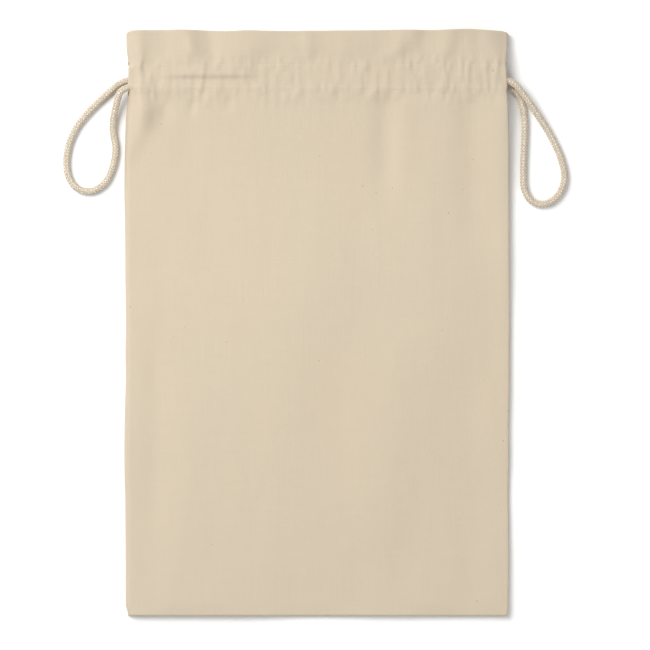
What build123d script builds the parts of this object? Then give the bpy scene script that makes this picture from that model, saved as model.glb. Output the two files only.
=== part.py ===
from build123d import *

import math
import os

# Fabric gift sack: a cotton bag with a drawcord casing under a short header, lying flat on its back.
# Millimetres. X runs across the sack, Y towards its mouth, and Z up from the surface it lies on.
# The origin is the middle of the sack's underside, on that surface.

# The sack and its cloth
sack_width = 300.0
sack_length = 460.0
cloth = 0.5
front_height = 12.3
allowance_width = 11.0
flange_width = 4.0
shoulder_width = 30.0
shoulder_break = 0.35
shoulder_break_rise = 0.6
bottom_slope = 26.0
bottom_slope_height = 8.0
mouth_rise_length = 90.0
header_rise = 0.15

# The drawcords and the casings that they run through
cord_diameter = 5.5
cord_gap = 0.3
mouth_gap = 4.2
lower_lane_y = 185.4
upper_lane_y = 191.2
lower_stitch_y = 181.2
upper_stitch_y = 201.5
hem_edge_y = 178.0
mouth_joint_y = 176.0
wall_slope = 0.3
wall_thickness_y = 0.45
far_wall_slope = 5.8
opening_depth = 3.0
stitch_clearance = 0.15
corner_share = 0.45

# Threads
stitch_width = 0.6
stitch_height = 0.25
overlock_width = 0.6
tack_length = 3.0
tack_top_z = 6.0
seam_inset = 2.0
seam_end_gap = 1.0
binding_length = 8.0

# Values worked out from those above
half_width = sack_width / 2
mouth_y = sack_length / 2
bottom_y = -mouth_y
cord_radius = cord_diameter / 2
cavity_height = cord_diameter + 2 * cord_gap
back_cord_z = cloth + cord_gap + cord_radius
back_hem_top = cloth + cavity_height + cloth
front_hem_bottom = back_hem_top + mouth_gap
front_cord_z = front_hem_bottom + cloth + cord_gap + cord_radius
front_header_top = front_cord_z + header_rise
front_base = 2 * cloth
sack_height = front_hem_bottom + cloth + cavity_height + cloth
casing_foot_y = lower_stitch_y + stitch_width / 2 + wall_thickness_y + stitch_clearance
casing_far_y = upper_stitch_y - stitch_width / 2 - wall_thickness_y - stitch_clearance
inner_wall_x = half_width - 2 * cloth
outer_wall_x = half_width - cloth
casing_end_x = half_width - opening_depth
cord_end_x = casing_end_x - binding_length

# Each drawcord runs along the front casing, out of a side opening, round its loop on the surface
# that the sack lies on, and back along the back casing. Z falls from the front casing to the surface.
loop_z = 2.9
left_route = [
    (cord_end_x, lower_lane_y, front_cord_z),
    (-153.0, lower_lane_y, front_cord_z),
    (-158.4, 170.5, 8.6),
    (-159.9, 149.0, 3.4),
    (-160.4, 132.5, loop_z),
    (-161.6, 119.0, loop_z),
    (-167.3, 108.3, loop_z),
    (-178.0, 102.3, loop_z),
    (-189.3, 105.4, loop_z),
    (-195.4, 115.8, loop_z),
    (-194.9, 133.0, loop_z),
    (-187.5, 153.0, loop_z),
    (-175.5, 168.2, 2.95),
    (-161.5, 181.9, 3.1),
    (-153.5, upper_lane_y, back_cord_z),
    (cord_end_x, upper_lane_y, back_cord_z),
]
right_route = [
    (-cord_end_x, upper_lane_y, front_cord_z),
    (151.5, upper_lane_y, front_cord_z),
    (162.5, 178.8, 11.5),
    (173.5, 163.2, 6.2),
    (183.4, 147.5, 3.2),
    (191.6, 129.5, loop_z),
    (195.0, 112.5, loop_z),
    (190.6, 99.5, loop_z),
    (181.5, 91.3, loop_z),
    (169.4, 92.4, loop_z),
    (162.6, 103.2, loop_z),
    (162.1, 118.5, loop_z),
    (163.0, 138.0, loop_z),
    (162.9, 159.5, loop_z),
    (158.6, 176.0, 2.95),
    (151.0, lower_lane_y, back_cord_z),
    (-cord_end_x, lower_lane_y, back_cord_z),
]


def block(x_range, y_range, z_range):
    """A box between two values on each axis."""
    size = [high - low for low, high in (x_range, y_range, z_range)]
    centre = [(low + high) / 2 for low, high in (x_range, y_range, z_range)]
    return Pos(*centre) * Box(*size)


def across(outline_yz, half_span):
    """A closed outline in Y and Z, extruded both ways along X."""
    points = [(0, y, z) for y, z in outline_yz]
    face = make_face(Polyline(*points, close=True))
    return extrude(face, amount=half_span, dir=(1, 0, 0), both=True)


def casing_layer(start_y, flat_z, crown_z):
    """Outline of a cloth layer that lies flat at flat_z and bulges round the cords to crown_z.

    Both heights are of the face towards the cords, and the cloth's thickness lies away from them.
    """
    away = math.copysign(cloth, crown_z - flat_z)
    side = wall_thickness_y
    near = [
        (start_y, flat_z),
        (casing_foot_y, flat_z),
        (casing_foot_y + wall_slope, crown_z),
        (casing_far_y - far_wall_slope, crown_z),
        (casing_far_y, flat_z),
        (mouth_y, flat_z),
    ]
    far = [
        (start_y, flat_z + away),
        (casing_foot_y - side, flat_z + away),
        (casing_foot_y + wall_slope - side, crown_z + away),
        (casing_far_y - far_wall_slope + side, crown_z + away),
        (casing_far_y + side, flat_z + away),
        (mouth_y, flat_z + away),
    ]
    return near + far[::-1]


def front_section(y, flange, shoulder, top):
    """The front panel's cloth cut across at y: flat edges, sloping shoulders and a flat crown."""
    low = front_base + cloth
    rise = top - low
    over = [
        (half_width, low),
        (half_width - flange, low),
        (half_width - flange - shoulder_break * shoulder, low + shoulder_break_rise * rise),
        (half_width - flange - shoulder, top),
    ]
    under = [(x - cloth if x < half_width else x, z - cloth) for x, z in over]
    outline = over + [(-x, z) for x, z in over[::-1]]
    outline += [(-x, z) for x, z in under] + under[::-1]
    return make_face(Polyline(*[(x, y, z) for x, z in outline], close=True))


def allowance(low_z):
    """One layer of the seam allowance, turned in along the sides and the bottom."""
    outer = block((-half_width, half_width), (bottom_y, mouth_joint_y), (low_z, low_z + cloth))
    inner_x = half_width - allowance_width
    inner = block((-inner_x, inner_x), (bottom_y + allowance_width, mouth_joint_y), (low_z, low_z + cloth))
    return outer - inner


def both_sides(right_piece):
    """A piece at the right side and its mirror image at the left."""
    return [right_piece, mirror(right_piece, about=Plane.YZ)]


def side_seam_thread(side):
    """The row of stitches that joins front and back along one side."""
    x = side * (half_width - seam_inset)
    span = (x - stitch_width / 2, x + stitch_width / 2)
    return block(span, (bottom_y + flange_width, mouth_joint_y), (cloth, front_base + cloth))


def bottom_seam_thread():
    """The row of stitches that joins front and back along the bottom."""
    y = bottom_y + seam_inset
    span = (y - stitch_width / 2, y + stitch_width / 2)
    end_x = half_width - seam_end_gap
    return block((-end_x, end_x), span, (cloth, front_base + cloth))


def cord_openings():
    """The gaps that the casings leave at both sides, where the cords come out."""
    edge = stitch_width / 2
    y_range = (lower_stitch_y + edge, upper_stitch_y - edge)
    return both_sides(block((casing_end_x, half_width), y_range, (cloth, sack_height)))


def make_front_panel(seam_threads):
    """The front cloth: a low crown over the body, then the header and the casing of the turned hem."""
    slope_foot_y = bottom_y + flange_width
    body_heights = [
        (bottom_y, front_base + cloth),
        (slope_foot_y, front_base + cloth),
        (slope_foot_y + shoulder_break * bottom_slope, bottom_slope_height),
        (slope_foot_y + bottom_slope, front_height),
        (mouth_y - mouth_rise_length, front_height),
    ]
    sections = [front_section(y, flange_width, shoulder_width, top) for y, top in body_heights]
    sections.append(front_section(mouth_joint_y, cloth, cloth, front_header_top))
    panel = loft(sections, ruled=True)
    flat_z = front_header_top - cloth
    outer_crown = front_cord_z + cord_radius + cord_gap
    inner_crown = front_cord_z - cord_radius - cord_gap
    panel += across(casing_layer(mouth_joint_y, flat_z, outer_crown), outer_wall_x)
    panel += across(casing_layer(hem_edge_y, flat_z, inner_crown), inner_wall_x)
    for side_wall in (
        block((inner_wall_x, outer_wall_x), (mouth_joint_y, casing_foot_y), (cloth, flat_z)),
        block((inner_wall_x, outer_wall_x), (casing_far_y, mouth_y), (cloth, flat_z)),
    ):
        for wall in both_sides(side_wall):
            panel += wall
    for cut in seam_threads + cord_openings():
        panel -= cut
    return panel


def make_back_panel(seam_threads):
    """The back cloth, flat on the surface, with its turned hem and the seam allowance."""
    panel = block((-half_width, half_width), (bottom_y, mouth_y), (0, cloth))
    panel += across(casing_layer(hem_edge_y, cloth, cloth + cavity_height), inner_wall_x)
    panel += allowance(cloth)
    for cut in seam_threads + cord_openings():
        panel -= cut
    return panel


def casing_stitches(y, surface_z):
    """One line of stitches across the sack, lying on a flat stretch of hemmed cloth."""
    span = (y - stitch_width / 2, y + stitch_width / 2)
    return block((-casing_end_x, casing_end_x), span, (surface_z, surface_z + stitch_height))


def side_overlock(side):
    """Thread over the cut edge of a side seam's allowance."""
    x = half_width - allowance_width
    inner = side * (x - overlock_width)
    outer = side * x
    span = (min(inner, outer), max(inner, outer))
    return block(span, (bottom_y + allowance_width, mouth_joint_y), (cloth, front_base))


def bottom_overlock():
    """Thread over the cut edge of the bottom seam's allowance."""
    x = half_width - allowance_width - overlock_width
    y = bottom_y + allowance_width
    return block((-x, x), (y, y + overlock_width), (cloth, front_base))


def opening_tack(side, y):
    """A bar tack on the side seam, at one end of a cord opening."""
    x_range = sorted((side * outer_wall_x, side * half_width))
    return block(x_range, (y - tack_length / 2, y + tack_length / 2), (front_base + cloth, tack_top_z))


def route_radii(route):
    """The largest arc that each corner of a cord's route leaves room for."""
    points = [Vector(*point) for point in route]
    radii = []
    for before, corner, after in zip(points, points[1:], points[2:]):
        run_in = corner - before
        run_out = after - corner
        half_turn = math.radians(run_in.get_angle(run_out)) / 2
        radii.append(corner_share * min(run_in.length, run_out.length) / math.tan(half_turn))
    return radii


def make_drawcord(name, route):
    """A round cord whose ends are bound: the tube stops where its bindings begin."""
    radii = route_radii(route)
    path = FilletPolyline(*route, radius=radii)
    section = Plane(origin=path @ 0, z_dir=path % 0) * Circle(cord_radius)
    cord = sweep(section, path=path)
    print(name, "length", round(path.length, 1))
    return cord


def end_bindings(route):
    """Turns of thread round both cut ends of a cord, which stop the braid from fraying."""
    bindings = []
    for x, y, z in (route[0], route[-1]):
        turn = Rot(0, math.copysign(90, x), 0)
        tube = turn * Cylinder(cord_radius, binding_length, align=(Align.CENTER, Align.CENTER, Align.MIN))
        bindings.append(Pos(x, y, z) * tube)
    return bindings


seam_threads = [side_seam_thread(-1), side_seam_thread(1), bottom_seam_thread()]
nodes = {
    "front_panel": make_front_panel(seam_threads),
    "back_panel": make_back_panel(seam_threads),
    "left_drawcord": make_drawcord("left_drawcord", left_route),
    "right_drawcord": make_drawcord("right_drawcord", right_route),
    "left_cord_end_bindings": Compound(children=end_bindings(left_route)),
    "right_cord_end_bindings": Compound(children=end_bindings(right_route)),
    "front_casing_lower_stitches": casing_stitches(lower_stitch_y, front_header_top),
    "front_casing_upper_stitches": casing_stitches(upper_stitch_y, front_header_top),
    "back_casing_lower_stitches": casing_stitches(lower_stitch_y, 2 * cloth),
    "back_casing_upper_stitches": casing_stitches(upper_stitch_y, 2 * cloth),
    "left_side_seam_stitches": seam_threads[0],
    "right_side_seam_stitches": seam_threads[1],
    "bottom_seam_stitches": seam_threads[2],
    "left_overlock_thread": side_overlock(-1),
    "right_overlock_thread": side_overlock(1),
    "bottom_overlock_thread": bottom_overlock(),
    "left_opening_lower_tack": opening_tack(-1, lower_stitch_y - tack_length / 2),
    "left_opening_upper_tack": opening_tack(-1, upper_stitch_y + tack_length / 2),
    "right_opening_lower_tack": opening_tack(1, lower_stitch_y - tack_length / 2),
    "right_opening_upper_tack": opening_tack(1, upper_stitch_y + tack_length / 2),
}

os.makedirs("parts", exist_ok=True)
for name, shape in nodes.items():
    export_step(shape, f"parts/{name}.step")
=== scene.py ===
import math

import bpy
import numpy as np
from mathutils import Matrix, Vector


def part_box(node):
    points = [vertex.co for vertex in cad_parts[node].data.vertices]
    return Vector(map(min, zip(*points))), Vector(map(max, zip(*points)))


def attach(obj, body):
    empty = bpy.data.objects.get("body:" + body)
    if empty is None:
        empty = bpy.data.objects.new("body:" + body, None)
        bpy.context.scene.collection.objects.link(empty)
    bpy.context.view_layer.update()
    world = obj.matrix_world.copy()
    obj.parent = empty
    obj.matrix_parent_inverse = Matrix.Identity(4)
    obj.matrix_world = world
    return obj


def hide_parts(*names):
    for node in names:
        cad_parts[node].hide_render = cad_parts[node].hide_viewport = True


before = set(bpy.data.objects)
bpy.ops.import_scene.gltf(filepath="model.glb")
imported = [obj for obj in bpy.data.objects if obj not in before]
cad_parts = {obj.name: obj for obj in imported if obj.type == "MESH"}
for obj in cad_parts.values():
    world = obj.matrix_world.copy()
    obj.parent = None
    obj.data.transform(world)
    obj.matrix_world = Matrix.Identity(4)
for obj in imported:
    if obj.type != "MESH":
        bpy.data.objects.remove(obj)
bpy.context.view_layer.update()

# A cotton gift sack lying flat on its back. Metres, in the frame of the CAD model: X across the sack,
# Y towards its mouth, Z up from the floor.
MM = 0.001

# How far the rolled bottom edge reaches beyond the CAD model's
bottom_overhang = 1.2 * MM

# Places that come from the frame
front_low, front_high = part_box("front_panel")
_, back_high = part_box("back_panel")
lower_stitch_low, lower_stitch_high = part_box("front_casing_lower_stitches")
upper_stitch_low, upper_stitch_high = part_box("front_casing_upper_stitches")
half_width = front_high[0]
mouth_y = front_high[1]
bottom_y = front_low[1] - bottom_overhang
casing_end_x = lower_stitch_high[0]
lower_stitch_y = (lower_stitch_low[1] + lower_stitch_high[1]) / 2
upper_stitch_y = (upper_stitch_low[1] + upper_stitch_high[1]) / 2
back_casing_top = back_high[2]

# Cloth: its thickness, the gap between two plies, its weave, the width of the roll at each edge, and
# the heights of its middle surface
cloth = 0.5 * MM
ply_gap = 0.65 * MM
weave_pitch = 0.55 * MM
seam_z = 0.85 * MM
left_roll = 4.5 * MM
right_roll = 0.9 * MM
header_left_roll = 6.0 * MM
header_right_roll = 1.1 * MM
bottom_roll = 1.0 * MM
edge_height = 5.6 * MM
crown_height = 6.3 * MM
stitch_line_z = 14.7 * MM
casing_crown_z = 15.3 * MM
over_cord_z = 14.95 * MM
front_lining_z = 8.55 * MM
lift_start_y = 70 * MM
hem_edge_y = 178.5 * MM
hem_blend = 9 * MM

# Cords: their radius, the braid's strands in each direction, the length of one turn, the braid's depth,
# and the fineness of the tube
cord_radius = 2.75 * MM
carriers = 6
braid_lay = 14.4 * MM
braid_depth = 0.60 * MM
cord_sides = 48
cord_step = 0.42 * MM

# Threads: stitches, bar tacks, bindings of the cord ends, then the overlock
stitch_length = 2.9 * MM
stitch_pitch = 3.5 * MM
thread_radius = 0.2 * MM
thread_sides = 6
stitch_sway = 0.1 * MM
stitch_end_gap = 1 * MM
stitch_points = 9
seam_stitch_points = 7
tack_pitch = 0.38 * MM
binding_thread = 0.27 * MM
binding_length = 7.4 * MM
binding_turn_count = 15
tip_turn_count = 5
points_per_turn = 16
overlock_thread = 0.14 * MM
overlock_pitch = 1.9 * MM
overlock_width = 3.6 * MM
overlock_wobble = 0.15 * MM
points_per_loop = 10

# The seam allowance inside the sack
overlock_low, overlock_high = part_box("right_overlock_thread")
_, bottom_overlock_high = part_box("bottom_overlock_thread")
allowance_x = overlock_low[0]
allowance_low_y = bottom_overlock_high[1]
allowance_high_y = overlock_high[1]
allowance_z = 0.80 * MM
allowance_side_gap = 1.5 * MM
allowance_bottom_gap = 2 * MM

# Colours, linear
cloth_colour = (0.593, 0.510, 0.394, 1)
cord_colour = (0.655, 0.585, 0.475, 1)
thread_colour = (0.69, 0.61, 0.495, 1)
seed_fleck_colour = (0.12, 0.075, 0.04, 1)
paper_colour = (0.93, 0.93, 0.93, 1)
doubled_cloth_tone = 0.055

# Camera: a long lens straight above, a little off the sack's middle. The picture's width is in metres.
lens = 200
sensor_width = 36
picture_width = 0.5115
picture_centre = (6.4 * MM, -2.4 * MM)
focus_z = 3 * MM

# Light: an even room, a soft key from the upper left and a weak fill from the lower right
world_strength = 0.43
key_place = (-1.02, 0.90, 1.70)
key_size = 1.35
key_power = 47.5
key_colour = (1.0, 0.99, 0.97)
fill_place = (1.3, -1.1, 1.3)
fill_size = 1.5
fill_power = 10
fill_colour = (0.97, 0.985, 1.0)
floor_reach = 3.0


# ---------------------------------------------------------------- camera, light and floor


def make_camera():
    """A camera that looks straight down."""
    data = bpy.data.cameras.new("camera")
    data.lens = lens
    data.sensor_width = sensor_width
    data.clip_end = 20
    camera = bpy.data.objects.new("camera", data)
    distance = picture_width * lens / sensor_width
    camera.location = (picture_centre[0], picture_centre[1], focus_z + distance)
    bpy.context.collection.objects.link(camera)
    bpy.context.scene.camera = camera


def make_area_light(name, location, size, power, colour):
    """A square soft light that points at the middle of the sack."""
    data = bpy.data.lights.new(name, "AREA")
    data.size = size
    data.energy = power
    data.color = colour
    light = bpy.data.objects.new(name, data)
    light.location = location
    direction = -np.array(location)
    yaw = math.atan2(direction[1], direction[0])
    tilt = math.atan2(math.hypot(direction[0], direction[1]), -direction[2])
    light.rotation_euler = (tilt, 0, yaw - math.pi / 2)
    bpy.context.collection.objects.link(light)


def make_world(strength):
    """Even white light from all round."""
    world = bpy.data.worlds.new("studio")
    world.use_nodes = True
    background = world.node_tree.nodes["Background"]
    background.inputs["Color"].default_value = (1, 1, 1, 1)
    background.inputs["Strength"].default_value = strength
    bpy.context.scene.world = world


def make_floor():
    reach = floor_reach
    corners = [(-reach, -reach, 0), (reach, -reach, 0), (reach, reach, 0), (-reach, reach, 0)]
    mesh = bpy.data.meshes.new("floor")
    mesh.from_pydata(corners, [], [(0, 1, 2, 3)])
    floor = bpy.data.objects.new("floor", mesh)
    bpy.context.collection.objects.link(floor)
    mesh.materials.append(floor_material())


# ---------------------------------------------------------------- numbers and noise


def smooth_step(low, high, value):
    """0 at the low end, 1 at the high one and smooth between them. The low end may be the larger one."""
    t = np.clip((value - low) / (high - low), 0, 1)
    return t * t * (3 - 2 * t)


def bump(value, centre, width):
    """A smooth bump, 1 at its centre."""
    return np.exp(-(((value - centre) / width) ** 2))


def bumps(features, value):
    """The sum of a list of bumps, each one given by its centre, half width and height."""
    return sum(height * bump(value, centre, width) for centre, width, height in features)


noise_size = 512
noise_grids = {}


def noise_grid(seed):
    """A square of random values, made once for each seed."""
    if seed not in noise_grids:
        noise_grids[seed] = np.random.RandomState(seed).uniform(-1, 1, (noise_size, noise_size))
    return noise_grids[seed]


def lattice_noise(x, y, cell_x, cell_y, seed):
    """Smooth random values between -1 and 1, with features about as large as the cell."""
    grid = noise_grid(seed)
    grid_x = x / cell_x + noise_size / 2
    grid_y = y / cell_y + noise_size / 2
    left = np.floor(grid_x).astype(int)
    below = np.floor(grid_y).astype(int)
    t = grid_x - left
    s = grid_y - below
    t = t * t * (3 - 2 * t)
    s = s * s * (3 - 2 * s)
    left %= noise_size
    below %= noise_size
    right = (left + 1) % noise_size
    above = (below + 1) % noise_size
    low = grid[left, below] * (1 - t) + grid[right, below] * t
    high = grid[left, above] * (1 - t) + grid[right, above] * t
    return low * (1 - s) + high * s


# ---------------------------------------------------------------- the sack's shape

# All the lists of features below are in millimetres.

# The outline: centre, half width and height of each swelling. A positive one moves the left edge
# inwards, the right edge outwards and the top edge up.
left_edge_features = [
    (196, 14, 2.4),
    (176, 10, 1.6),
    (112, 34, -1.4),
    (40, 40, -0.8),
    (-100, 50, -1.0),
]
right_edge_features = [
    (197, 15, -1.5),
    (176, 8, -0.2),
    (100, 30, 0.4),
    (10, 60, 0.9),
]
top_edge_features = [
    (-153, 5, -2.2),
    (-113, 26, 0.5),
    (-70, 14, -0.5),
    (-55, 8, 0.4),
    (-20, 30, -0.4),
    (70, 24, 0.6),
    (118, 18, 1.5),
    (153, 5, -1.8),
]
top_edge_drop = 1.9

# How far the header droops towards its two ends, all over and then only towards its free edge.
header_end_droop = [(156, 13, 1.6), (-156, 12, 1.5)]
header_end_sag = [(154, 20, 4.0), (-154, 10, 2.4)]
header_right_sag = 3.0

# Header flutes: where each ridge stands at the top edge, how it leans towards the casing, its half
# width and its height.
header_flutes = [
    (-140, 2, 7, 2.1),
    (-121, 3, 8, -0.8),
    (-104, 9, 9, 3.3),
    (-84, 4, 8, -1.7),
    (-51, -3, 15, 1.6),
    (-8, 3, 6, 1.2),
    (20, 5, 12, 0.6),
    (73, -16, 11, 2.1),
    (104, -5, 9, 2.0),
    (138, 3, 8, 1.2),
]
# Folds in the body: the start and the end of the fold's line in X and Y, its half width and its height.
# A negative height is a groove.
body_folds = [
    (-139, 192, -138, 156, 2.8, 2.2),
    (-134, 198, -135, 148, 8.0, 2.6),
    (-131, 168, -153, 122, 9.0, 1.6),
    (-117, 192, -119, 154, 6.0, -1.4),
    (-95, 188, -98, 162, 3.5, -1.5),
    (-84, 188, -87, 168, 3.0, 0.8),
    (-66, 188, -70, 164, 4.0, -1.2),
    (-44, 188, -45, 168, 3.0, -0.6),
    (54, 186, 54, 90, 10.0, -2.3),
    (68, 182, 68, 100, 8.0, 0.7),
    (121, 186, 123, 60, 12.0, -2.0),
    (146, 184, 148, -60, 9.0, 1.2),
    (58, -20, 52, -215, 26.0, 2.3),
    (-38, 30, -40, -228, 58.0, 2.0),
    (120, -50, 126, -232, 16.0, -1.3),
    (-100, -60, -104, -222, 14.0, 1.0),
    (-128, -20, -127, -215, 9.0, -1.1),
    (-20, 90, -30, -120, 34.0, 0.9),
    (-100, 120, -96, -40, 26.0, 0.5),
]

# Sharp little ridges that run through the casing itself.
casing_ridges = [
    (-138.0, 207, -138.5, 168, 2.2, 1.2),
    (-134.0, 192, -135.0, 150, 4.6, 1.7),
    (-87.5, 205, -92.5, 172, 1.6, 0.8),
    (-122.0, 200, -124.0, 184, 2.0, -0.6),
    (-72.0, 200, -71.0, 190, 1.2, 0.4),
    (-56.0, 201, -57.0, 186, 1.3, 0.5),
    (38.0, 205, 38.5, 184, 1.5, 0.5),
    (62.0, 203, 61.0, 186, 1.4, -0.5),
    (84.0, 204, 85.5, 180, 1.5, 0.6),
    (99.0, 203, 98.0, 176, 1.4, 0.6),
    (118.0, 200, 119.0, 172, 1.5, 0.7),
    (132.0, 203, 134.5, 174, 1.4, 0.8),
    (141.0, 205, 138.0, 176, 1.4, 0.9),
]

# Puckers along the casing: the width, length, height and seed of each size of pucker.
short_puckers = (4.2, 15, 0.62, 5)
fine_puckers = (2.9, 8, 0.75, 6)
broad_puckers = (9, 22, 0.30, 7)
deepest_pucker = -0.45

# Slow waves in the cloth: width, length, height and the seed of each one.
slow_waves = [(46, 120, 0.75, 11), (17, 70, 0.30, 12), (9, 14, 0.10, 13)]

# The crease between the two cords at the left: how far its upper side stands over its lower one.
crease_rise = 2.1


def left_edge_x(y):
    """The sack's left outline, which pinches in at the casing and bows out below it."""
    y = y / MM
    corner = 1.6 * smooth_step(-222, -230, y)
    uneven = 0.35 * lattice_noise(y, 0 * y, 23, 5, 43)
    return -half_width + (bumps(left_edge_features, y) + corner + uneven) * MM


def right_edge_x(y):
    """The sack's right outline, a little fuller below the casing."""
    y = y / MM
    fuller = 0.8 * smooth_step(184, 166, y)
    corner = 0.8 * smooth_step(-224, -230, y)
    uneven = 0.3 * lattice_noise(y, 0 * y, 27, 5, 44)
    return half_width + (bumps(right_edge_features, y) + fuller - corner + uneven) * MM


def top_edge_y(x):
    """The header's upper edge, which waves with its flutes and drops at the corners."""
    return mouth_y + (bumps(top_edge_features, x / MM) - top_edge_drop) * MM


def soft_floor(value, lowest):
    """The value, bent smoothly so that it stays above the lowest one."""
    return lowest + 0.25 * np.logaddexp(0, (value - lowest) / 0.25)


def wave(features, x, y):
    """Noise in millimetres, from the width, length, height and seed of its features."""
    width, length, height, seed = features
    return height * lattice_noise(x, y, width * MM, length * MM, seed)


def small_puckers(x, y):
    """The short creases that the stitches and the gathered cords pull into the cloth."""
    at_stitches = bump(y, lower_stitch_y - 1.5 * MM, 9 * MM) + bump(y, upper_stitch_y + 0.5 * MM, 7 * MM)
    in_casing = smooth_step(176 * MM, 182 * MM, y) * smooth_step(208 * MM, 201 * MM, y)
    height = wave(short_puckers, x, y) * (at_stitches + 0.5 * in_casing)
    height += wave(fine_puckers, x, y) * (at_stitches + 0.7 * in_casing)
    height += wave(broad_puckers, x, y) * in_casing
    right_end = smooth_step(40 * MM, 130 * MM, x)
    patchy = 0.6 + 0.45 * lattice_noise(x, y, 30 * MM, 60 * MM, 8) + 0.4 * right_end
    return soft_floor(height * patchy, deepest_pucker) * MM


def stitch_wander(x, line):
    """How far a hand-guided line of stitches strays from straight at X."""
    return 0.5 * MM * lattice_noise(x, line + 0 * x, 21 * MM, 5 * MM, 17)


def stitch_show(x, line):
    """From 0 to 1: how far the stitches of a line stand out there, rather than sink into the cloth."""
    return 0.5 + 0.5 * lattice_noise(x, line + 0 * x, 16 * MM, 5 * MM, 19)


def stitch_dimples(x, y):
    """The stitch lines sink into the cloth, most where the thread enters it."""
    depth = 0
    for line in (lower_stitch_y, upper_stitch_y):
        line = line + stitch_wander(x, line)
        along = 0.75 + 0.25 * np.cos(2 * math.pi * x / stitch_pitch)
        depth = depth + along * stitch_show(x, line) * bump(y, line, 0.9 * MM)
    return -0.14 * depth * MM


def fold_height(folds, x, y):
    """The height of a list of folds, each one fading out towards both ends."""
    height = 0
    for x0, y0, x1, y1, width, rise in folds:
        t = (y / MM - y0) / (y1 - y0)
        line_x = x0 + (x1 - x0) * t
        fade = smooth_step(-0.18, 0.12, t) * smooth_step(1.15, 0.55, t)
        height = height + rise * fade * bump(x / MM, line_x, width)
    return height * MM


def flute_height(x, y):
    """The header's flutes, tallest at its free edge and gone at the stitches, and its drooping ends."""
    up = np.clip((y - upper_stitch_y) / (mouth_y - upper_stitch_y), -1, 1)
    height = 0
    for top_x, lean, width, rise in header_flutes:
        line_x = top_x + lean * (1 - up)
        spread = width * (0.6 + 0.4 * np.maximum(up, 0))
        height = height + rise * bump(x / MM, line_x, spread)
    height = height + 0.35 * lattice_noise(x, y, 7 * MM, 20 * MM, 9)
    grown = height * smooth_step(-0.05, 0.45, up)
    sag = header_right_sag * smooth_step(30, 130, x / MM) + bumps(header_end_sag, x / MM)
    droop = bumps(header_end_droop, x / MM) * smooth_step(-0.8, 0.0, up) + sag * smooth_step(-0.1, 0.9, up)
    return (grown + smooth_step(0.0, 1.0, up) - droop) * MM


def soft_unevenness(x, y):
    """The slow waves of cloth that was folded in a packet and then smoothed out by hand."""
    return sum(wave(features, x, y) for features in slow_waves) * MM


def casing_share(y):
    """0 over the body, and 1 from the casing upwards, where the body's folds have faded out."""
    return smooth_step(lower_stitch_y - 13 * MM, lower_stitch_y + 2 * MM, y)


def crown_z(x, y):
    """Height of the front panel's middle layer, away from its rolled side edges."""
    from_bottom = y - bottom_y
    from_side = np.clip(half_width - np.abs(x), 0, half_width)
    rolled = np.sqrt(np.clip(1 - (1 - np.clip(from_bottom / bottom_roll, 0, 1)) ** 2, 0, 1))
    puffed = edge_height * (1 + 0.22 * lattice_noise(x, y, 60 * MM, 45 * MM, 41))
    inset = smooth_step(0, 70 * MM, from_side) * smooth_step(0, 90 * MM, from_bottom)
    body = seam_z + (puffed - seam_z) * rolled + (crown_height - puffed) * inset
    lift = np.clip((y - lift_start_y) / (lower_stitch_y - lift_start_y), 0, 1) ** 2.6
    height = body + (stitch_line_z - body) * lift
    folds = fold_height(body_folds, x, y) + soft_unevenness(x, y)
    return height + folds * smooth_step(0, 10 * MM, from_bottom) * (1 - casing_share(y))


def casing_bulge(x, y):
    """How far the front casing stands over its stitch lines, round the two cords."""
    lanes = smooth_step(lower_stitch_y - 1.0 * MM, lower_stitch_y + 3.2 * MM, y)
    crease = smooth_step(189.5 * MM, 194.5 * MM, y) * smooth_step(230 * MM, 200 * MM, y)
    crease = crease * smooth_step(-128 * MM, -100 * MM, x) * smooth_step(-38 * MM, -66 * MM, x)
    return (casing_crown_z - stitch_line_z) * lanes + crease_rise * MM * crease


def soft_maximum(first, second, blend):
    """The larger of two heights, with the corner between them rounded."""
    return first + blend * np.logaddexp(0, (second - first) / blend)


def front_z(x, y):
    """Height of the outer front cloth over any point of the sack."""
    height = crown_z(x, y) + casing_bulge(x, y)
    height = height + flute_height(x, y) + small_puckers(x, y) + stitch_dimples(x, y)
    height = height + fold_height(casing_ridges, x, y)
    over_cords = smooth_step(lower_stitch_y, lower_stitch_y + 2.5 * MM, y)
    over_cords = over_cords * smooth_step(upper_stitch_y, upper_stitch_y - 3.5 * MM, y)
    lowest = height + over_cords * (over_cord_z - height)
    return soft_maximum(lowest, height, 0.1 * MM)


# ---------------------------------------------------------------- cloth meshes

edge_columns = 9
middle_columns = 212
hem_fold_steps = 7

# Rows from the bottom up: a foot where they are closest at the seam, then bands given by the Y where
# each one ends and its count, then the casing and header.
foot_height = 14 * MM
foot_rows = 14
body_bands = [(120 * MM, 60), (172 * MM, 21)]
mouth_rows = 52


def wall_weight(y):
    """1 where the cloth comes down to the side seam, and 0 where the casing ends are open."""
    start = lower_stitch_y + 0.2 * MM
    end = upper_stitch_y - 0.2 * MM
    return 1 - smooth_step(start, start + 2.5 * MM, y) * smooth_step(end, end - 2.5 * MM, y)


def column_places(y):
    """Across one row: X of each column, and how far it has come up from the seam, from 0 to 1."""
    header = smooth_step(150 * MM, 206 * MM, y)
    roll_left = left_roll + (header_left_roll - left_roll) * header
    roll_right = right_roll + (header_right_roll - right_roll) * header
    angle = np.linspace(0, math.pi / 2, edge_columns)
    inward = 1 - np.cos(angle)
    left = left_edge_x(y)
    right = right_edge_x(y)
    middle = np.linspace(left + roll_left, right - roll_right, middle_columns)[1:-1]
    x = np.concatenate([left + inward * roll_left, middle, (right - inward * roll_right)[::-1]])
    up = np.concatenate([np.sin(angle), np.ones(middle_columns - 2), np.sin(angle)[::-1]])
    return x, up


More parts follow.
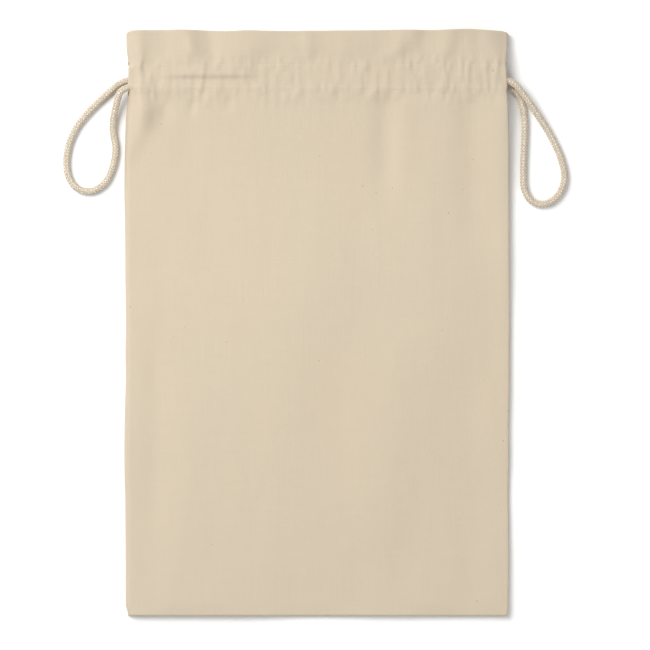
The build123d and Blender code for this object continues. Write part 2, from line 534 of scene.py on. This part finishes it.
def front_row(y_nominal):
    """One row of the outer front cloth, from the left seam to the right one."""
    x, up = column_places(y_nominal)
    stretch = smooth_step(upper_stitch_y, mouth_y, y_nominal)
    y = y_nominal + (top_edge_y(x) - mouth_y) * stretch
    top = front_z(x, y_nominal + 0 * x)
    foot = seam_z + (1 - wall_weight(y_nominal)) * (top - seam_z - 0.6 * MM)
    z = foot + (top - foot) * up
    return np.stack([x, y, z], axis=1)


def front_lining_row(y_nominal):
    """One row of the turned hem behind the front cloth: under the header, then under the cords."""
    row = front_row(y_nominal)
    x, up = column_places(y_nominal)
    towards_middle = -np.sign(x) * (1 - up)
    row[:, 0] += ply_gap * towards_middle
    row[:, 2] -= ply_gap * up
    y = y_nominal
    under = smooth_step(lower_stitch_y - 0.3 * MM, lower_stitch_y + 2.6 * MM, y)
    under = under * smooth_step(upper_stitch_y + 0.3 * MM, upper_stitch_y - 5.5 * MM, y)
    puckers = 0.5 * small_puckers(x, y + 0 * x)
    row[:, 2] = row[:, 2] * (1 - under) + (front_lining_z + puckers) * under
    return row


def back_row(y_nominal):
    """One row of the outer back cloth, flat on the floor with its edges turned up to the seam."""
    x, _ = column_places(y_nominal)
    stretch = smooth_step(upper_stitch_y, mouth_y, y_nominal)
    y = y_nominal + (top_edge_y(x) - mouth_y) * stretch
    from_edge = np.minimum(x - left_edge_x(y_nominal), right_edge_x(y_nominal) - x)
    from_edge = np.minimum(from_edge, y_nominal - bottom_y)
    lift = np.clip(1 - from_edge / (4 * MM), 0, 1) ** 2 * wall_weight(y_nominal)
    flutes = 0.8 * MM * (1 + lattice_noise(x, y, 30 * MM, 60 * MM, 21))
    near_mouth = smooth_step(208 * MM, mouth_y, y_nominal) * smooth_step(0, 12 * MM, from_edge)
    z = cloth / 2 + 0.3 * MM * lift + flutes * near_mouth
    return np.stack([x, y, z], axis=1)


def back_lining_row(y_nominal):
    """One row of the turned hem inside the back cloth, which passes over the back cords."""
    row = back_row(y_nominal)
    x = row[:, 0]
    y = y_nominal
    over = smooth_step(lower_stitch_y - 0.2 * MM, lower_stitch_y + 1.4 * MM, y)
    over = over * smooth_step(upper_stitch_y + 0.2 * MM, upper_stitch_y - 6.0 * MM, y)
    row[:, 2] += ply_gap + 0.35 * np.abs(small_puckers(x, y + 0 * x))
    row[:, 2] += over * (back_casing_top - cloth / 2 - cloth / 2 - ply_gap)
    inside = np.clip(np.abs(x) / half_width - 0.97, 0, 1) * 0.6 * MM / 0.03
    row[:, 0] -= np.sign(x) * inside * wall_weight(y)
    return row


def row_heights(top_gap):
    """Nominal Y of each row, from the bottom seam to a small gap below the header's edge."""
    start = bottom_y + foot_height
    bands = [bottom_y + foot_height * np.linspace(0, 1, foot_rows) ** 2]
    for end, count in body_bands + [(mouth_y - top_gap, mouth_rows)]:
        bands.append(np.linspace(start, end, count)[1:])
        start = end
    return np.concatenate(bands)


def fold_rows(outer, lining):
    """Rows that carry the cloth over from the outer layer to the turned hem at the top edge."""
    rows = []
    for angle in np.linspace(0, math.pi, hem_fold_steps)[1:-1]:
        t = (1 - math.cos(angle)) / 2
        row = outer * (1 - t) + lining * t
        row[:, 1] += math.sin(angle) * ply_gap / 2
        rows.append(row)
    return rows


def panel_rows(outer_row, lining_row):
    """All rows of a panel as one strip of cloth: up the outside, over the top and down the hem."""
    heights = row_heights(ply_gap / 2)
    rows = [outer_row(y) for y in heights]
    lining_heights = heights[heights > hem_edge_y][::-1]
    lining = [lining_row(y) for y in lining_heights]
    return np.array(rows + fold_rows(rows[-1], lining[0]) + lining)


def grid_normals(points):
    """The direction straight out of a sheet at each point of its grid."""
    along = np.gradient(points, axis=0)
    across = np.gradient(points, axis=1)
    normals = np.cross(across, along)
    return normals / np.maximum(np.linalg.norm(normals, axis=2, keepdims=True), 1e-12)


def grid_faces(rows, columns, first, flip):
    """Four-sided faces over a grid of vertices, from the number of its first vertex."""
    index = np.arange(rows * columns).reshape(rows, columns) + first
    corners = [index[:-1, :-1], index[:-1, 1:], index[1:, 1:], index[1:, :-1]]
    if flip:
        corners = corners[::-1]
    return np.stack([c.ravel() for c in corners], axis=1)


def rim_faces(rows, columns, second):
    """Faces that close the edge between a sheet's two sides."""
    index = np.arange(rows * columns).reshape(rows, columns)
    rim = np.concatenate([index[0], index[1:, -1], index[-1, -2::-1], index[-2:0:-1, 0]])
    after = np.roll(rim, -1)
    return np.stack([rim, rim + second, after + second, after], axis=1)


def mesh_object(name, vertices, faces, material):
    """A smooth-shaded object from an array of vertices and a list of faces."""
    mesh = bpy.data.meshes.new(name)
    mesh.from_pydata(vertices.tolist(), [], faces)
    mesh.polygons.foreach_set("use_smooth", [True] * len(mesh.polygons))
    mesh.materials.append(material)
    piece = bpy.data.objects.new(name, mesh)
    bpy.context.collection.objects.link(piece)
    return piece


def cloth_object(name, points, material):
    """A sheet of cloth of real thickness from the grid of points of its middle surface."""
    rows, columns = points.shape[:2]
    offset = grid_normals(points) * cloth / 2
    count = rows * columns
    vertices = np.concatenate([(points + offset).reshape(-1, 3), (points - offset).reshape(-1, 3)])
    faces = np.concatenate(
        [
            grid_faces(rows, columns, 0, False),
            grid_faces(rows, columns, count, True),
            rim_faces(rows, columns, count),
        ]
    )
    return mesh_object(name, vertices, faces.tolist(), material)


def make_front_panel(material):
    piece = cloth_object("front_cloth", panel_rows(front_row, front_lining_row), material)
    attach(piece, "sack")
    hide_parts("front_panel")
    return piece


def make_back_panel(material):
    piece = cloth_object("back_cloth", panel_rows(back_row, back_lining_row), material)
    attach(piece, "sack")
    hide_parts("back_panel")
    return piece


# ---------------------------------------------------------------- materials


class Nodes:
    """A short way to add linked shader nodes."""

    def __init__(self, material):
        material.use_nodes = True
        self.tree = material.node_tree
        self.shader = self.tree.nodes["Principled BSDF"]

    def math(self, operation, first, second=None):
        node = self.tree.nodes.new("ShaderNodeMath")
        node.operation = operation
        for socket, value in zip(node.inputs, (first, second)):
            if value is None:
                continue
            if isinstance(value, (int, float)):
                socket.default_value = value
            else:
                self.tree.links.new(value, socket)
        return node.outputs[0]

    def object_place(self):
        coordinates = self.tree.nodes.new("ShaderNodeTexCoord")
        split = self.tree.nodes.new("ShaderNodeSeparateXYZ")
        self.tree.links.new(coordinates.outputs["Object"], split.inputs[0])
        return coordinates.outputs["Object"], split.outputs["X"], split.outputs["Y"], split.outputs["Z"]

    def scaled(self, vector, scale):
        mapping = self.tree.nodes.new("ShaderNodeMapping")
        mapping.inputs["Scale"].default_value = scale
        self.tree.links.new(vector, mapping.inputs["Vector"])
        return mapping.outputs[0]

    def noise(self, vector, scale, detail=2.0):
        node = self.tree.nodes.new("ShaderNodeTexNoise")
        node.inputs["Scale"].default_value = 1.0
        node.inputs["Detail"].default_value = detail
        self.tree.links.new(self.scaled(vector, scale), node.inputs["Vector"])
        return node.outputs["Fac"]

    def mix_colour(self, factor, first, second):
        """A mix of two colours, whose sockets are inputs 6 and 7 of the node."""
        node = self.tree.nodes.new("ShaderNodeMix")
        node.data_type = "RGBA"
        sockets = (node.inputs[0], node.inputs[6], node.inputs[7])
        for socket, value in zip(sockets, (factor, first, second)):
            if isinstance(value, (int, float, tuple)):
                socket.default_value = value
            else:
                self.tree.links.new(value, socket)
        return node.outputs[2]

    def bump(self, height, strength, distance, normal=None):
        node = self.tree.nodes.new("ShaderNodeBump")
        node.inputs["Strength"].default_value = strength
        node.inputs["Distance"].default_value = distance
        self.tree.links.new(height, node.inputs["Height"])
        if normal is not None:
            self.tree.links.new(normal, node.inputs["Normal"])
        return node.outputs["Normal"]


def shade(colour, factor):
    """A colour made darker or lighter."""
    return tuple(channel * factor for channel in colour[:3]) + (1,)


def tinted(colour, red, green, blue):
    """A colour with each channel made stronger or weaker."""
    return (colour[0] * red, colour[1] * green, colour[2] * blue, 1)


def weave_height(nodes, x, y, pitch):
    """Plain weave: warp and weft threads that pass over and under each other."""
    turn = math.pi / pitch
    warp = nodes.math("SINE", nodes.math("MULTIPLY", x, turn))
    weft = nodes.math("SINE", nodes.math("MULTIPLY", y, turn))
    warp_round = nodes.math("ABSOLUTE", warp)
    weft_round = nodes.math("ABSOLUTE", weft)
    parity = nodes.math("MULTIPLY", warp, weft)
    over = nodes.math("GREATER_THAN", parity, 0.0)
    under = nodes.math("SUBTRACT", 1.0, over)
    upper = nodes.math("MULTIPLY", warp_round, over)
    lower = nodes.math("MULTIPLY", weft_round, under)
    return nodes.math("ADD", upper, lower)


def cotton_cloth_material():
    """Unbleached plain-weave cotton: uneven threads, slubs, a little fuzz and dark seed flecks."""
    material = bpy.data.materials.new("cotton_cloth")
    nodes = Nodes(material)
    place, x, y, _ = nodes.object_place()
    broad = nodes.noise(place, (9, 6, 9), 3.0)
    warp_slubs = nodes.noise(place, (1500, 22, 22), 2.0)
    weft_slubs = nodes.noise(place, (22, 1500, 22), 2.0)
    mottle = nodes.noise(place, (240, 240, 240), 3.0)
    slubs = nodes.math("ADD", warp_slubs, weft_slubs)
    tone = nodes.math("MULTIPLY", slubs, 0.5)
    colour = nodes.mix_colour(tone, shade(cloth_colour, 0.90), shade(cloth_colour, 1.10))
    warm = tinted(cloth_colour, 1.015, 0.985, 0.955)
    colour = nodes.mix_colour(nodes.math("MULTIPLY", broad, 0.9), colour, warm)
    into_hem = nodes.math("DIVIDE", nodes.math("SUBTRACT", y, hem_edge_y), hem_blend)
    doubled = nodes.math("MINIMUM", nodes.math("MAXIMUM", into_hem, 0.0), 1.0)
    colour = nodes.mix_colour(nodes.math("MULTIPLY", doubled, doubled_cloth_tone), colour, (0, 0, 0, 1))
    flecks = nodes.math("GREATER_THAN", nodes.noise(place, (430, 380, 430), 0.0), 0.89)
    colour = nodes.mix_colour(nodes.math("MULTIPLY", flecks, 0.38), colour, seed_fleck_colour)
    nodes.tree.links.new(colour, nodes.shader.inputs["Base Color"])
    weave = weave_height(nodes, x, y, weave_pitch)
    relief = nodes.bump(weave, 0.5, 0.14 * MM)
    relief = nodes.bump(slubs, 0.35, 0.25 * MM, relief)
    relief = nodes.bump(mottle, 0.25, 0.3 * MM, relief)
    nodes.tree.links.new(relief, nodes.shader.inputs["Normal"])
    nodes.shader.inputs["Roughness"].default_value = 0.92
    nodes.shader.inputs["Specular IOR Level"].default_value = 0.25
    nodes.shader.inputs["Sheen Weight"].default_value = 0.12
    nodes.shader.inputs["Sheen Roughness"].default_value = 0.6
    return material


def cotton_cord_material():
    """Braided cotton yarn, each strand of a slightly different tone, with fuzz, dark grain and painted
    shade in the crevices between the strands.
    """
    material = bpy.data.materials.new("cotton_cord")
    nodes = Nodes(material)
    place, _, _, _ = nodes.object_place()
    tone = nodes.tree.nodes.new("ShaderNodeAttribute")
    tone.attribute_name = "strand_tone"
    # This attribute marks the crevices of the braid, where the colour below paints shade.
    depth = nodes.tree.nodes.new("ShaderNodeAttribute")
    depth.attribute_name = "painted_crevice_shade"
    light = nodes.mix_colour(tone.outputs["Fac"], shade(cord_colour, 0.84), shade(cord_colour, 1.30))
    # A darker colour: painted shade in the crevices between the strands, and also the colour of the dark
    # grain.
    shade_and_grain_colour = shade(tinted(cord_colour, 0.9, 0.8, 0.68), 0.42)
    colour = nodes.mix_colour(depth.outputs["Fac"], light, shade_and_grain_colour)
    grain = nodes.noise(place, (950, 950, 950), 1.0)
    grain = nodes.math("MULTIPLY", nodes.math("SUBTRACT", grain, 0.5), 4.0)
    grain = nodes.math("MINIMUM", nodes.math("MAXIMUM", grain, 0.0), 0.42)
    colour = nodes.mix_colour(grain, colour, shade_and_grain_colour)
    speckle = nodes.noise(place, (700, 700, 700), 2.0)
    pink = tinted(cord_colour, 1.12, 0.97, 0.98)
    amount = nodes.math("MULTIPLY", nodes.math("GREATER_THAN", speckle, 0.58), 0.35)
    colour = nodes.mix_colour(amount, colour, pink)
    nodes.tree.links.new(colour, nodes.shader.inputs["Base Color"])
    fibres = nodes.noise(place, (2600, 2600, 2600), 3.0)
    nodes.tree.links.new(nodes.bump(fibres, 0.5, 0.12 * MM), nodes.shader.inputs["Normal"])
    nodes.shader.inputs["Roughness"].default_value = 0.9
    nodes.shader.inputs["Specular IOR Level"].default_value = 0.25
    nodes.shader.inputs["Sheen Weight"].default_value = 0.2
    nodes.shader.inputs["Sheen Roughness"].default_value = 0.5
    return material


def thread_material():
    """Twisted sewing thread, a little paler and smoother than the cloth."""
    material = bpy.data.materials.new("sewing_thread")
    nodes = Nodes(material)
    place, _, _, _ = nodes.object_place()
    twist = nodes.noise(place, (1800, 1800, 1800), 2.0)
    colour = nodes.mix_colour(twist, shade(thread_colour, 0.86), shade(thread_colour, 1.06))
    nodes.tree.links.new(colour, nodes.shader.inputs["Base Color"])
    nodes.tree.links.new(nodes.bump(twist, 0.4, 0.08 * MM), nodes.shader.inputs["Normal"])
    nodes.shader.inputs["Roughness"].default_value = 0.7
    nodes.shader.inputs["Specular IOR Level"].default_value = 0.35
    nodes.shader.inputs["Sheen Weight"].default_value = 0.1
    return material


def floor_material():
    """Plain white paper with a faint tooth."""
    material = bpy.data.materials.new("floor_paper")
    nodes = Nodes(material)
    place, _, _, _ = nodes.object_place()
    tooth = nodes.noise(place, (400, 400, 400), 2.0)
    nodes.tree.links.new(nodes.bump(tooth, 0.05, 0.2 * MM), nodes.shader.inputs["Normal"])
    nodes.shader.inputs["Base Color"].default_value = paper_colour
    nodes.shader.inputs["Roughness"].default_value = 0.9
    return material


# ---------------------------------------------------------------- drawcords

# The points of each cord's route in millimetres. They are those of the CAD model, except that the
# strand in the front casing lies lower, the loop lies up to a few millimetres elsewhere, and each long
# straight run has one more point a little before the cord leaves its casing.
lower_lane_y = 185.4
upper_lane_y = 191.2
front_strand_z = 11.85
back_strand_z = 3.55
left_route = [
    (139.0, lower_lane_y, front_strand_z),
    (-117.0, lower_lane_y, front_strand_z),
    (-153.0, lower_lane_y, front_strand_z),
    (-158.0, 170.5, 7.4),
    (-161.3, 151.5, 3.4),
    (-157.4, 136.5, 2.9),
    (-160.9, 119.5, 2.9),
    (-166.9, 107.9, 2.9),
    (-178.0, 101.7, 2.9),
    (-190.0, 104.8, 2.9),
    (-197.0, 116.6, 2.9),
    (-197.0, 134.5, 2.9),
    (-190.3, 152.5, 2.9),
    (-178.4, 166.8, 2.95),
    (-163.0, 181.4, 3.1),
    (-150.5, upper_lane_y, back_strand_z),
    (-117.0, upper_lane_y, back_strand_z),
    (139.0, upper_lane_y, back_strand_z),
]
right_route = [
    (-139.0, upper_lane_y, front_strand_z),
    (117.0, upper_lane_y, front_strand_z),
    (151.5, upper_lane_y, front_strand_z),
    (162.5, 178.8, 9.6),
    (173.5, 163.2, 5.8),
    (183.7, 147.5, 3.2),
    (192.4, 129.5, 2.9),
    (196.0, 112.5, 2.9),
    (191.2, 100.0, 2.9),
    (181.5, 92.2, 2.9),
    (169.6, 93.2, 2.9),
    (162.8, 103.4, 2.9),
    (162.3, 118.5, 2.9),
    (163.2, 138.0, 2.9),
    (164.0, 159.5, 2.9),
    (160.4, 177.6, 2.95),
    (151.0, lower_lane_y, back_strand_z),
    (117.0, lower_lane_y, back_strand_z),
    (-139.0, lower_lane_y, back_strand_z),
]


def route_line(route):
    """Closely spaced points along the smooth spline of a route, in metres."""
    curve = bpy.data.curves.new("route", "CURVE")
    curve.dimensions = "3D"
    spline = curve.splines.new("NURBS")
    spline.points.add(len(route) - 1)
    for point, place in zip(spline.points, route):
        point.co = (place[0] * MM, place[1] * MM, place[2] * MM, 1)
    spline.order_u = 3
    spline.use_endpoint_u = True
    curve.resolution_u = 40
    holder = bpy.data.objects.new("route", curve)
    line = bpy.data.meshes.new_from_object(holder)
    points = np.array([vertex.co[:] for vertex in line.vertices])
    bpy.data.objects.remove(holder)
    bpy.data.curves.remove(curve)
    bpy.data.meshes.remove(line)
    return points


def evenly_spaced(points, step):
    """Points at equal steps along a line, and the length of the line up to each one."""
    lengths = np.concatenate([[0], np.cumsum(np.linalg.norm(np.diff(points, axis=0), axis=1))])
    count = int(round(lengths[-1] / step)) + 1
    places = np.linspace(0, lengths[-1], count)
    return np.stack([np.interp(places, lengths, points[:, axis]) for axis in range(3)], axis=1), places


def carried_frames(points):
    """A pair of directions across the line at each point, carried along without twisting."""
    tangents = np.gradient(points, axis=0)
    tangents /= np.linalg.norm(tangents, axis=1, keepdims=True)
    side = np.cross(tangents[0], (0, 0, 1))
    side /= np.linalg.norm(side)
    sides = []
    for tangent in tangents:
        side = side - tangent * np.dot(side, tangent)
        side = side / np.linalg.norm(side)
        sides.append(side)
    sides = np.array(sides)
    return sides, np.cross(tangents, sides)


def braid_relief(turn, along):
    """Height of a round braid whose strands pass over and under one by one, and the strands' tones.

    The place on the cord is given by the turn round it and the length along it.
    """
    right_hand = carriers * (turn / (2 * math.pi) + along / braid_lay)
    left_hand = carriers * (turn / (2 * math.pi) - along / braid_lay)
    right_strand = np.floor(right_hand)
    left_strand = np.floor(left_hand)
    over = (right_strand + left_strand) % 2 < 1
    across = np.where(over, right_hand - right_strand, left_hand - left_strand)
    lengthwise = np.where(over, left_hand - left_strand, right_hand - right_strand)
    rounded = np.sqrt(np.clip(1 - (2 * across - 1) ** 2, 0, 1))
    arched = 0.55 + 0.45 * np.sin(math.pi * lengthwise)
    height = rounded * arched
    strand = np.where(over, right_strand, left_strand + 97)
    tone = np.modf(np.abs(np.sin(strand % carriers * 12.9898 + np.where(over, 1.7, 5.3)) * 43758.5))[0]
    return height, 0.35 * tone + 0.65 * over


def tube_vertices(points, turn, radius):
    """Rings of vertices round a line of points. The radius is a number, or one for each vertex."""
    sides, ups = carried_frames(points)
    ring = np.cos(turn)[None, :, None] * sides[:, None, :] + np.sin(turn)[None, :, None] * ups[:, None, :]
    return (points[:, None, :] + ring * radius).reshape(-1, 3)


def tube_faces(rows, around):
    """The faces of a closed tube of rings, with one face over each end."""
    index = np.arange(rows * around).reshape(rows, around)
    after = np.roll(index, -1, axis=1)
    faces = np.stack([index[:-1], after[:-1], after[1:], index[1:]], axis=2).reshape(-1, 4).tolist()
    faces.append(index[0][::-1].tolist())
    faces.append(index[-1].tolist())
    return faces


def braided_tube(name, points, along, material):
    """A braided cord as one closed tube whose surface carries the braid, its strands' tones and a mask for
    the shade painted in its crevices.
    """
    turn = np.linspace(0, 2 * math.pi, cord_sides, endpoint=False)
    height, tone = braid_relief(turn[None, :], along[:, None])
    radius = cord_radius + 0.05 * MM - braid_depth * (1 - height)
    vertices = tube_vertices(points, turn, radius[:, :, None])
    piece = mesh_object(name, vertices, tube_faces(len(points), cord_sides), material)
    # The second attribute marks the braid's crevices, where the cord's material paints shade.
    for label, values in (("strand_tone", tone), ("painted_crevice_shade", 1 - smooth_step(0.2, 0.72, height))):
        attribute = piece.data.attributes.new(label, "FLOAT", "POINT")
        attribute.data.foreach_set("value", values.ravel().astype(np.float32))
    return piece


def make_drawcord(side, route, material):
    """One drawcord: its braided tube along the smooth line of its route."""
    points, along = evenly_spaced(route_line(route), cord_step)
    piece = braided_tube(side + "_braided_cord", points, along, material)
    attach(piece, side + "_cord")
    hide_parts(side + "_drawcord")
    return piece


# ---------------------------------------------------------------- threads


def thread_object(name, body, lines, radius, material, *replaced):
    """One piece made of many short runs of thread, each one a line of points."""
    turn = np.linspace(0, 2 * math.pi, thread_sides, endpoint=False)
    vertices = []
    faces = []
    count = 0
    for line in lines:
        line_vertices = tube_vertices(np.array(line), turn, radius)
        line_faces = tube_faces(len(line), thread_sides)
        vertices.append(line_vertices)
        faces += [[corner + count for corner in face] for face in line_faces]
        count += len(line_vertices)
    piece = mesh_object(name, np.concatenate(vertices), faces, material)
    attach(piece, body)
    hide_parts(*replaced)
    return piece


def stitch_line(y, surface, reach):
    """Lock stitches across the sack: each one dives into the cloth at both ends."""
    lines = []
    random = np.random.RandomState(int(y / MM))
    for centre in np.arange(-reach, reach, stitch_pitch):
        slant = random.uniform(-0.12, 0.12) * MM
        x = centre + np.linspace(-0.5, 0.5, stitch_points) * stitch_length
        t = np.linspace(-1, 1, stitch_points)
        line_y = y + stitch_wander(x, y) + slant * t
        tight = random.uniform(-0.9, 0.5) + 2.4 * float(stitch_show(centre, y)) - 1.7
        arch = thread_radius * (tight - 2.6 * np.abs(t) ** 5)
        z = surface(x, line_y) + arch
        lines.append(np.stack([x, line_y + 0 * x, z], axis=1))
    return lines


def front_face_z(x, y):
    """Height of the front cloth's outer face, with its sides rolled down to the seams."""
    from_left = (x - left_edge_x(y)) / header_left_roll
    from_right = (right_edge_x(y) - x) / header_right_roll
    inward = np.clip(np.minimum(from_left, from_right), 0.02, 1)
    up = np.sqrt(1 - (1 - inward) ** 2)
    return seam_z + (front_z(x, y) - seam_z) * up + cloth / 2


def back_hem_face_z(x, _):
    """Height of the hem's upper face at the back stitch lines, which is the same everywhere."""
    return 0 * x + cloth / 2 + ply_gap + cloth / 2


def make_casing_stitches(material):
    """The two lines of stitches below and above the cords, on the front panel and on the back one."""
    reach = casing_end_x - stitch_end_gap
    for place, y in (("lower", lower_stitch_y), ("upper", upper_stitch_y)):
        for panel, surface in (("front", front_face_z), ("back", back_hem_face_z)):
            name = panel + "_casing_" + place + "_stitches"
            lines = stitch_line(y, surface, reach)
            thread_object(name + "_thread", "sack", lines, thread_radius, material, name)


def straight_stitches(start, end, surface_z, sway):
    """Lock stitches along a straight seam, from one point in X and Y to another."""
    start = np.array(start)
    end = np.array(end)
    length = np.linalg.norm(end - start)
    along = (end - start) / length
    across = np.array([-along[1], along[0]])
    t = np.linspace(-1, 1, seam_stitch_points)
    lines = []
    for centre in np.arange(stitch_pitch / 2, length, stitch_pitch):
        reach = centre + t * stitch_length / 2
        place = start + reach[:, None] * along + sway * math.sin(centre * 900) * across
        z = surface_z + thread_radius * (0.4 - 1.4 * np.abs(t) ** 4)
        lines.append(np.column_stack([place, z]))
    return lines


def make_seam_stitches(material):
    """The rows of stitches that join the front to the back, just inside the folded edges."""
    for side in ("left", "right", "bottom"):
        name = side + "_side_seam_stitches" if side != "bottom" else "bottom_seam_stitches"
        low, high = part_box(name)
        middle = [(low[0] + high[0]) / 2, (low[1] + high[1]) / 2]
        if side == "bottom":
            start, end = (low[0], middle[1]), (high[0], middle[1])
        else:
            start, end = (middle[0], low[1]), (middle[0], high[1])
        lines = straight_stitches(start, end, allowance_z + cloth / 2, stitch_sway)
        thread_object(name + "_thread", "sack", lines, thread_radius, material, name)


def overlock_line(start, end, inward):
    """One long looping thread that wraps a cut edge from start to end."""
    start = np.array(start)
    end = np.array(end)
    loops = int(np.linalg.norm(end - start) / overlock_pitch)
    angle = np.linspace(0, 2 * math.pi * loops, loops * points_per_loop)
    share = angle / angle[-1]
    wobble = overlock_wobble * np.sin(angle * 0.37)
    place = start + share[:, None] * (end - start)
    place = place + (overlock_width / 2 * (1 + np.cos(angle)) + wobble)[:, None] * np.array(inward)
    z = allowance_z + (cloth / 2 + overlock_thread) * np.sin(angle)
    return np.column_stack([place, z])


def make_overlocks(material):
    """The overlock thread on the cut inner edges of the seam allowance."""
    edges = {
        "left": ((-allowance_x, allowance_low_y), (-allowance_x, allowance_high_y), (-1, 0)),
        "right": ((allowance_x, allowance_low_y), (allowance_x, allowance_high_y), (1, 0)),
        "bottom": ((-allowance_x, allowance_low_y), (allowance_x, allowance_low_y), (0, -1)),
    }
    for side, (start, end, inward) in edges.items():
        name = side + "_overlock_thread"
        lines = [overlock_line(start, end, inward)]
        row = overlock_width * np.array(inward)
        needle = straight_stitches(start + row, end + row, allowance_z + cloth / 2, 0)
        thread_object(name + "_loops", "sack", lines + needle, overlock_thread, material, name)


def make_tacks(material):
    """Bar tacks that strengthen both ends of each cord opening, on the sack's side walls."""
    for side, edge_x in (("left", left_edge_x), ("right", right_edge_x)):
        for place in ("lower", "upper"):
            name = side + "_opening_" + place + "_tack"
            low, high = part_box(name)
            outward = -1 if side == "left" else 1
            lines = []
            for height in np.arange(low[2], high[2], tack_pitch):
                y = np.linspace(low[1], high[1], stitch_points)
                t = np.linspace(-1, 1, stitch_points)
                z = height + 0 * y
                proud = (cloth / 2 + 0.1 * MM) * (1 - 1.2 * np.abs(t) ** 6)
                lines.append(np.stack([edge_x(y) + outward * proud, y, z], axis=1))
            thread_object(name + "_thread", "sack", lines, thread_radius, material, name)


def make_seam_allowance(material):
    """The cut edges of the cloth inside the side and bottom seams, seen through the mouth."""
    left = -half_width + allowance_side_gap
    right = half_width - allowance_side_gap
    low = bottom_y + allowance_bottom_gap
    strips = {
        "left": (left, -allowance_x, 8, allowance_low_y, allowance_high_y, 200),
        "right": (allowance_x, right, 8, allowance_low_y, allowance_high_y, 200),
        "bottom": (-allowance_x, allowance_x, 140, low, allowance_low_y, 8),
    }
    for side, (x0, x1, columns, y0, y1, rows) in strips.items():
        x, y = np.meshgrid(np.linspace(x0, x1, columns), np.linspace(y0, y1, rows))
        z = allowance_z + 0.06 * MM * lattice_noise(x, y, 8 * MM, 9 * MM, 31)
        piece = cloth_object(side + "_seam_allowance", np.stack([x, y, z], axis=2), material)
        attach(piece, "sack")
        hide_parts("back_panel")


def binding_turns(end, direction):
    """Close turns of thread round one end of a cord, and flat turns that close its tip."""
    pitch = binding_length / binding_turn_count
    radius = cord_radius - binding_thread
    angle = np.linspace(0, 2 * math.pi * binding_turn_count, binding_turn_count * points_per_turn)
    x = end[0] * MM + direction * (angle / (2 * math.pi) * pitch + binding_thread)
    side = np.stack([x, np.cos(angle) * radius, np.sin(angle) * radius], axis=1)
    tip_angle = np.linspace(0, 2 * math.pi * tip_turn_count, tip_turn_count * points_per_turn)[1:]
    tip_radius = radius * (1 - 0.97 * tip_angle / tip_angle[-1])
    tip_x = 0 * tip_angle + x[-1]
    tip = np.stack([tip_x, np.cos(tip_angle) * tip_radius, np.sin(tip_angle) * tip_radius], axis=1)
    return np.concatenate([side, tip]) + np.array([0, end[1] * MM, end[2] * MM])


def make_bindings(side, route, material):
    """The thread bound round both cut ends of one cord."""
    name = side + "_cord_end_bindings"
    direction = math.copysign(1, route[0][0])
    lines = [binding_turns(end, direction) for end in (route[0], route[-1])]
    return thread_object(name + "_thread", side + "_cord", lines, binding_thread, material, name)


# ---------------------------------------------------------------- put together

make_camera()
bpy.context.scene.view_settings.view_transform = "Standard"
make_world(world_strength)
make_area_light("key", key_place, key_size, key_power, key_colour)
make_area_light("fill", fill_place, fill_size, fill_power, fill_colour)
make_floor()

thread = thread_material()
cord_cotton = cotton_cord_material()
cloth_cotton = cotton_cloth_material()

left_bindings = make_bindings("left", left_route, thread)
right_bindings = make_bindings("right", right_route, thread)
make_drawcord("left", left_route, cord_cotton)
make_drawcord("right", right_route, cord_cotton)
front = make_front_panel(cloth_cotton)
back = make_back_panel(cloth_cotton)
make_seam_allowance(cloth_cotton)
make_casing_stitches(thread)
make_seam_stitches(thread)
make_overlocks(thread)
make_tacks(thread)
